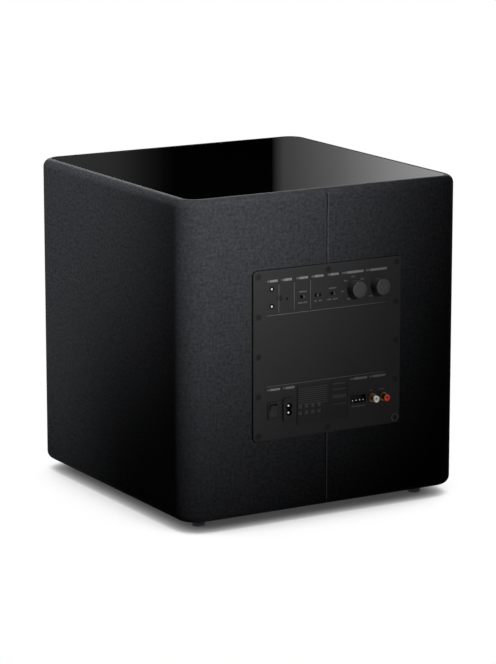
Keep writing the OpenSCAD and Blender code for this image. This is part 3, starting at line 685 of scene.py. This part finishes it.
def make_seam():
    """The stitched yarn along one flank of the seam and a black strip of painted shade in its groove,
    off the plate.
    """
    ends = SEAM_END * EDGE_R
    spans = [(body_hi.z - ends, plate_hi.z + SEAM_STOP),
             (plate_lo.z - SEAM_STOP, body_lo.z + ends)]
    y = body_hi.y
    for name, centre, half, foot, crown, material in SEAM_STRIPS:
        verts, faces = [], []
        for top, low in spans:
            steps = max(2, int((top - low) / STRIP_STEP))
            start = len(verts)
            for i in range(steps + 1):
                z = top + (low - top) * i / steps
                over = max(z - (body_hi.z - EDGE_R), (body_lo.z + EDGE_R) - z, 0)
                back = EDGE_R - math.sqrt(EDGE_R ** 2 - over ** 2)
                for dx, dy in ((half, foot), (0, crown), (-half, foot)):
                    verts.append((centre + dx, y - back + dy, z))
            for i in range(steps):
                a = start + 3 * i
                faces += [(a, a + 3, a + 4, a + 1), (a + 1, a + 4, a + 5, a + 2)]
        make_object(name, verts, faces, material)


# Inner padding ---------------------------------------------------------------------------------------

def mesh_islands(node):
    """The boxes (lo, hi) of a CAD node's separate solids."""
    work = bmesh.new()
    work.from_mesh(node.data)
    bmesh.ops.remove_doubles(work, verts=work.verts, dist=TOUCH)
    left, boxes = set(work.verts), []
    while left:
        stack, found = [left.pop()], []
        while stack:
            vert = stack.pop()
            found.append(vert.co.copy())
            for edge in vert.link_edges:
                other = edge.other_vert(vert)
                if other in left:
                    left.remove(other)
                    stack.append(other)
        boxes.append((Vector([min(c[k] for c in found) for k in range(3)]),
                      Vector([max(c[k] for c in found) for k in range(3)])))
    work.free()
    return sorted(boxes, key=lambda b: (b[0].x, b[0].y))


PAD_STEPS = (20, 24)
PAD_CROWN, PAD_LUMP, PAD_SQUARENESS = 0.93, 0.06, 6
LUMP_RATES = (5.1, 6.3)


def make_wadding():
    """Fibre pads with soft, slightly lumpy faces, one for each block of the CAD wadding."""
    for n, (lo, hi) in enumerate(mesh_islands(nodes["wadding"])):
        mid, half = (lo + hi) / 2, (hi - lo) / 2
        wall = -1 if mid.x < 0 else 1
        verts, faces = [], []
        across, up = PAD_STEPS
        for side in (0, 1):
            for j in range(up + 1):
                for i in range(across + 1):
                    a, b = 2 * i / across - 1, 2 * j / up - 1
                    fall = (1 - abs(a) ** PAD_SQUARENESS) * (1 - abs(b) ** PAD_SQUARENESS)
                    edge = max(0.0, fall) ** 0.5
                    wave = math.sin(LUMP_RATES[0] * a + n) * math.sin(LUMP_RATES[1] * b + 2 * n)
                    depth = (2 * edge * (PAD_CROWN + PAD_LUMP * wave) - 1) if side else -1
                    depth = max(-1, min(1, depth))
                    verts.append((mid.x - wall * depth * half.x, mid.y + a * half.y,
                                  mid.z + b * half.z))
        row, sheet = across + 1, (across + 1) * (up + 1)
        for j in range(up):
            for i in range(across):
                a = j * row + i
                quad = (a, a + 1, a + row + 1, a + row)
                faces += [quad[::wall], tuple(sheet + k for k in quad[::-wall])]
        pad = make_object(f"wadding_pad_{n}", verts, faces, MATERIALS["wadding"])
        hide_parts("wadding")


# Flexing rings of the driver -------------------------------------------------------------------------

SECTORS = 16
# Rings that flex as the cone travels: (node, slot, radius that moves, radius that stays)
FLEXING = [("surround", "surround_rubber", 0.1135, 0.1328),
           ("spider", "spider_cloth", 0.0345, 0.078)]


def cut_sector(node, centre, middle):
    """The vertices and faces of one sector of a ring round the driver's axis."""
    work = bmesh.new()
    work.from_mesh(node.data)
    for side in (-1, 1):
        edge = middle + side * math.pi / SECTORS
        outward = Vector((-math.sin(edge), 0, math.cos(edge))) * side
        bmesh.ops.bisect_plane(work, geom=work.verts[:] + work.edges[:] + work.faces[:],
                               plane_co=centre, plane_no=outward, clear_outer=True)
    work.verts.index_update()
    verts = [v.co.copy() for v in work.verts]
    faces = [[v.index for v in face.verts] for face in work.faces]
    work.free()
    return verts, faces


def make_flexing_rings():
    """The surround and spider again, cut into sectors that span between the basket and the cone."""
    for name, slot, moves, stays in FLEXING:
        node = nodes[name]
        corners = [Vector(c) for c in node.bound_box]
        centre = sum(corners, Vector()) / 8
        for k in range(SECTORS):
            middle = 2 * math.pi * (k + 0.5) / SECTORS
            verts, faces = cut_sector(node, centre, middle)
            piece = make_object(f"{name}_sector_{k}", verts, faces, MATERIALS[slot],
                                body=None)
            piece.data.set_sharp_from_angle(angle=SHARP_ANGLE)
            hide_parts(name)
            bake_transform(piece)


# The whole scene -------------------------------------------------------------------------------------

def mix_by_ray(graph, for_camera, for_gloss, for_rest):
    """Emission seen by the camera, by mirror-like rays and by all other rays."""
    path = graph.add("LightPath")
    inner = graph.add("MixShader")
    graph.join(path.outputs["Is Glossy Ray"], inner.inputs[0])
    graph.join(for_rest, inner.inputs[1])
    graph.join(for_gloss, inner.inputs[2])
    outer = graph.add("MixShader")
    graph.join(path.outputs["Is Camera Ray"], outer.inputs[0])
    graph.join(inner.outputs[0], outer.inputs[1])
    graph.join(for_camera, outer.inputs[2])
    return outer.outputs[0]


def emission(graph, kind, colour, strength):
    made = graph.add(kind)
    graph.feed(made.inputs["Color"], colour if isinstance(colour, bpy.types.NodeSocket)
               else (*colour, 1))
    made.inputs["Strength"].default_value = strength
    return made.outputs[0]


# Brightness of the studio's far wall against the sideways part of the ray's direction
WALL_STOPS = [(-0.5, 0.05), (-0.06, 0.066), (-0.0455, 0.052), (-0.0356, 0.021), (-0.029, 0.006),
              (-0.025, 0.0), (0.0088, 0.0), (0.0096, 0.098), (0.017, 0.141), (0.03, 0.238),
              (0.0435, 0.434), (0.05, 0.535), (0.062, 0.67), (0.5, 0.75)]
WALL_SPAN = 0.5
WALL_FROM = 0.35      # rays that go this much ahead of the camera meet the far wall
STUDIO_BACK = (0.35, 0.35, 0.353)
SKY_TINT, SKY_FILL = (0.9, 0.95, 1.0), 0.006


def make_world():
    """A white backdrop for the camera, and a dim studio with a graded wall for reflections."""
    world = bpy.data.worlds.new("studio")
    scene.world = world
    world.use_nodes = True
    graph = Graph(world.node_tree)
    output = graph.add("OutputWorld")
    way = graph.add("TexCoord").outputs["Generated"]
    side = graph.add("VectorMath", operation="DOT_PRODUCT")
    graph.join(way, side.inputs[0])
    side.inputs[1].default_value = VIEW_RIGHT
    ahead = graph.add("VectorMath", operation="DOT_PRODUCT")
    graph.join(way, ahead.inputs[0])
    ahead.inputs[1].default_value = (-VIEW_BACK.x, -VIEW_BACK.y, 0)
    wall = graph.math("GREATER_THAN", ahead.outputs["Value"], WALL_FROM)
    place = graph.add("MapRange")
    graph.join(side.outputs["Value"], place.inputs["Value"])
    place.inputs["From Min"].default_value = -WALL_SPAN
    place.inputs["From Max"].default_value = WALL_SPAN
    ramp = graph.ramp([((at + WALL_SPAN) / (2 * WALL_SPAN), value) for at, value in WALL_STOPS])
    graph.join(place.outputs["Result"], ramp.inputs[0])
    studio = graph.blend(wall, STUDIO_BACK, ramp.outputs["Color"])
    shown = mix_by_ray(graph, emission(graph, "Background", (1, 1, 1), 1.0),
                       emission(graph, "Background", studio, 1.0),
                       emission(graph, "Background", SKY_TINT, SKY_FILL))
    graph.join(shown, output.inputs["Surface"])


# Painted contact shadow: brightness of the floor against how open it is to the sky
FLOOR_SHADE = [(0.08, 0.05), (0.16, 0.15), (0.4, 0.4), (0.52, 0.78), (0.6, 0.95), (0.68, 1.0)]
FLOOR_HALF = 12
NEAR_REACH = 0.16      # how far the floor looks for the body
FLOOR_MIRRORED, FLOOR_FILL = 0.8, 0.004      # its strength for mirror-like rays and for others


def make_floor():
    """A pale floor with a painted contact shadow: it only darkens close to the body."""
    mesh = bpy.data.meshes.new("floor")
    corners = [(x * FLOOR_HALF, y * FLOOR_HALF, 0) for x, y in ((-1, -1), (1, -1), (1, 1), (-1, 1))]
    mesh.from_pydata(corners, [], [(0, 1, 2, 3)])
    floor = bpy.data.objects.new("floor", mesh)
    scene.collection.objects.link(floor)
    made = bpy.data.materials.new("floor")
    made.use_nodes = True
    graph = Graph(made.node_tree)
    output = graph.add("OutputMaterial")
    near = graph.add("AmbientOcclusion", samples=16)
    near.inputs["Distance"].default_value = NEAR_REACH
    shade = graph.ramp(FLOOR_SHADE)
    graph.join(near.outputs["AO"], shade.inputs[0])
    shown = mix_by_ray(graph, emission(graph, "Emission", shade.outputs["Color"], 1.0),
                       emission(graph, "Emission", (1, 1, 1), FLOOR_MIRRORED),
                       emission(graph, "Emission", (1, 1, 1), FLOOR_FILL))
    graph.join(shown, output.inputs["Surface"])
    mesh.materials.append(made)


LAMP_SIZE = 0.1


def make_spot(name, place, aim, power, half_angle):
    """A round soft light whose beam fades from its middle to its edge."""
    data = bpy.data.lights.new(name, "SPOT")
    data.energy = power
    data.spot_size = math.radians(2 * half_angle)
    data.spot_blend = 1.0
    data.shadow_soft_size = LAMP_SIZE
    light = bpy.data.objects.new(name, data)
    light.location = place
    light.rotation_mode = "QUATERNION"
    light.rotation_quaternion = (Vector(aim) - Vector(place)).to_track_quat("-Z", "Y")
    scene.collection.objects.link(light)


# Soft beams from two places in the studio: (aim, half angle in degrees, share of BEAM_POWER)
REAR_SOURCE = (0.15, 3.2, 1.4)
REAR_BEAMS = [((0.31, 0.19, 0.49), 9.7, 0.39), ((0.24, 0.19, 0.6), 8, 0.259),
              ((0.24, 0.19, 0.44), 10, 0.015), ((-0.055, 0.193, 0.156), 0.8, 0.085)]
SIDE_SOURCE = (3.2, -0.9, 1.3)
SIDE_BEAMS = [((0.197, -0.2, 0.5), 7.7, 0.375), ((0.197, -0.2, 0.1), 3, 0.175)]
BEAM_POWER = 2700
# Single lights: (name, place, aim, watts, half angle in degrees)
SINGLE_LIGHTS = [("front_key", (-1.9, -3.3, 1.5), (-0.05, -0.1, 0.25), 2200, 11),
                 ("rim_light", (0.19, 0.18, 3.4), (0.05, 0.05, 0.41), 330, 6)]


def make_lights():
    for side, source, beams in (("rear", REAR_SOURCE, REAR_BEAMS),
                                ("side", SIDE_SOURCE, SIDE_BEAMS)):
        for i, (aim, half_angle, strength) in enumerate(beams):
            make_spot(f"{side}_beam_{i}", source, aim, BEAM_POWER * strength, half_angle)
    for light in SINGLE_LIGHTS:
        make_spot(*light)


make_camera()
dress_cad_nodes()
make_sleeve()
make_seam()
make_plate_painted_shadow()
make_wadding()
make_flexing_rings()
make_plate_print()
make_rings()
make_world()
make_floor()
make_lights()
scene.view_settings.view_transform = "Standard"
